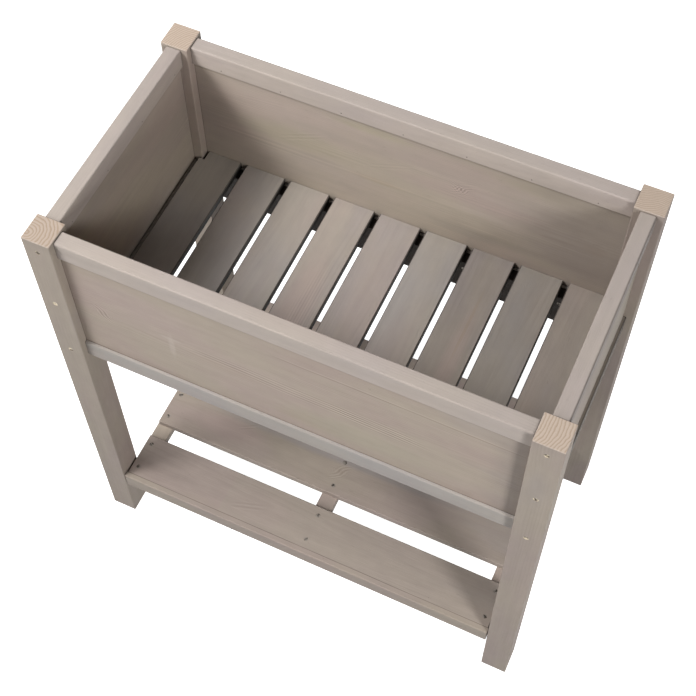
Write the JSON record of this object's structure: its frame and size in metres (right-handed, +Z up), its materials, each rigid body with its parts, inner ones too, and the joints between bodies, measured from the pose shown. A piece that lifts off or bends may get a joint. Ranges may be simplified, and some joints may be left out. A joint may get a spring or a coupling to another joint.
{
  "type": "raised planter on legs",
  "caption": "Raised wooden garden planter: an open slatted box of framed panels on square legs, with a slatted storage shelf below.",
  "frame": {"origin": "on the ground, under the middle of the planter", "axes": "+X along the length to the right as seen from the front, +Y from front to back, +Z up"},
  "size_m": [0.79, 0.44, 0.86],
  "materials": {
    "leg_wood": "taupe grey washed softwood with bare sawn end grain on the leg tops",
    "rail_wood": "taupe grey washed softwood, planed and eased",
    "plank_wood": "taupe grey washed softwood, wide board with streaked grain",
    "slat_wood": "taupe grey washed softwood slats",
    "shelf_wood": "taupe grey washed softwood shelf boards",
    "hidden_wood": "taupe grey washed softwood battens",
    "screw_steel": "yellow passivated steel wood screws",
    "pin_steel": "dull steel wire pins"
  },
  "bodies": {
    "root": {"leg_front_left": "leg_wood", "leg_front_right": "leg_wood", "leg_back_left": "leg_wood", "leg_back_right": "leg_wood", "front_top_rail": "rail_wood", "front_plank": "plank_wood", "front_bottom_rail": "rail_wood", "front_leg_screws": "screw_steel", "front_panel_pins": "pin_steel", "back_top_rail": "rail_wood", "back_plank": "plank_wood", "back_bottom_rail": "rail_wood", "back_leg_screws": "screw_steel", "back_panel_pins": "pin_steel", "left_top_rail": "rail_wood", "left_plank": "plank_wood", "left_bottom_rail": "rail_wood", "left_leg_screws": "screw_steel", "left_panel_pins": "pin_steel", "right_top_rail": "rail_wood", "right_plank": "plank_wood", "right_bottom_rail": "rail_wood", "right_leg_screws": "screw_steel", "right_panel_pins": "pin_steel", "floor_slat_1": "slat_wood", "floor_slat_2": "slat_wood", "floor_slat_3": "slat_wood", "floor_slat_4": "slat_wood", "floor_slat_5": "slat_wood", "floor_slat_6": "slat_wood", "floor_slat_7": "slat_wood", "floor_slat_8": "slat_wood", "floor_slat_9": "slat_wood", "floor_bearer_front": "hidden_wood", "floor_bearer_back": "hidden_wood", "shelf_board_1": "shelf_wood", "shelf_board_2": "shelf_wood", "shelf_board_3": "shelf_wood", "shelf_board_4": "shelf_wood", "shelf_lip_front": "shelf_wood", "shelf_lip_back": "shelf_wood", "shelf_bearer_left": "hidden_wood", "shelf_bearer_middle": "hidden_wood", "shelf_bearer_right": "hidden_wood", "shelf_bearer_screws": "screw_steel", "shelf_board_screws": "screw_steel", "floor_slat_screws": "screw_steel", "floor_bearer_screws": "screw_steel"}
  },
  "joints": []
}
